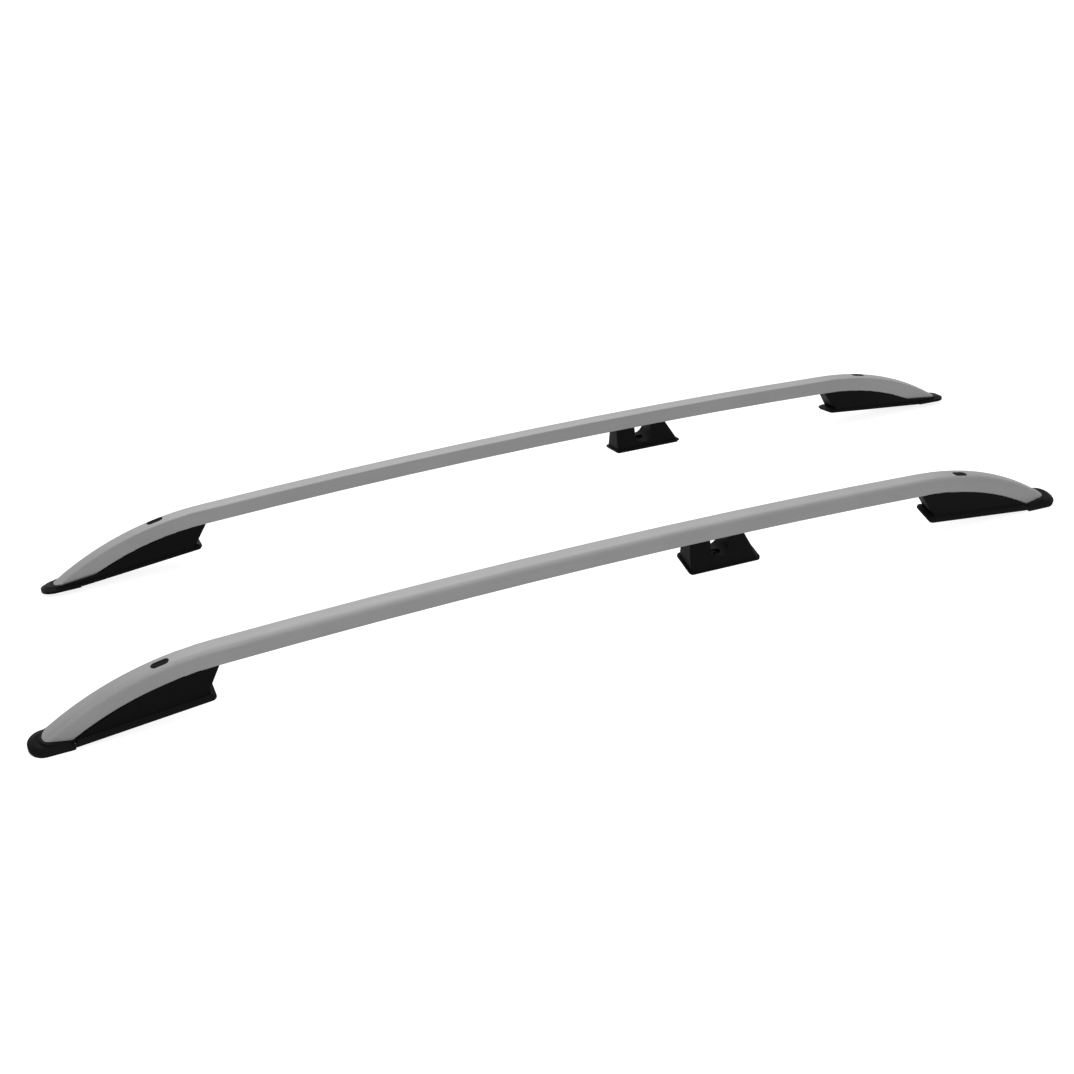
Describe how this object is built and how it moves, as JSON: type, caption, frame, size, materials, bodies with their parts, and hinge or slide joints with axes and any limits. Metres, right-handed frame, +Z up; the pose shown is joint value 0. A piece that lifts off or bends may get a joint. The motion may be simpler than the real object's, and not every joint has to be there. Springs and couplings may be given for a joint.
{
  "type": "roof side rail pair",
  "caption": "Pair of raised roof side rails: silver bars with downturned ends in black feet, a tunnelled centre foot, for cross bars and straps.",
  "frame": {"origin": "middle of the pair's outline on the level the feet stand on", "axes": "+X along the rails towards the vehicle's rear, +Y to the vehicle's right, +Z up"},
  "size_m": [1.9776, 0.5256, 0.1264],
  "materials": {
    "bar_aluminium": "satin anodised silver",
    "foot_plastic": "fine-grained satin black moulding",
    "plug_plastic": "satin black moulding",
    "pad_rubber": "matt black",
    "sleeve_steel": "zinc plated",
    "screw_steel": "zinc plated"
  },
  "bodies": {
    "root": {"left_centre_bolt_sleeve": "sleeve_steel", "left_centre_foot": "foot_plastic", "left_centre_foot_screws": "screw_steel", "left_centre_gasket": "pad_rubber", "left_front_bolt_sleeve": "sleeve_steel", "left_front_foot": "foot_plastic", "left_front_foot_screws": "screw_steel", "left_front_gasket": "pad_rubber", "left_front_slot_plug": "plug_plastic", "left_rail_bar": "bar_aluminium", "left_rear_bolt_sleeve": "sleeve_steel", "left_rear_foot": "foot_plastic", "left_rear_foot_screws": "screw_steel", "left_rear_gasket": "pad_rubber", "left_rear_slot_plug": "plug_plastic", "right_centre_bolt_sleeve": "sleeve_steel", "right_centre_foot": "foot_plastic", "right_centre_foot_screws": "screw_steel", "right_centre_gasket": "pad_rubber", "right_front_bolt_sleeve": "sleeve_steel", "right_front_foot": "foot_plastic", "right_front_foot_screws": "screw_steel", "right_front_gasket": "pad_rubber", "right_front_slot_plug": "plug_plastic", "right_rail_bar": "bar_aluminium", "right_rear_bolt_sleeve": "sleeve_steel", "right_rear_foot": "foot_plastic", "right_rear_foot_screws": "screw_steel", "right_rear_gasket": "pad_rubber", "right_rear_slot_plug": "plug_plastic"}
  },
  "joints": []
}
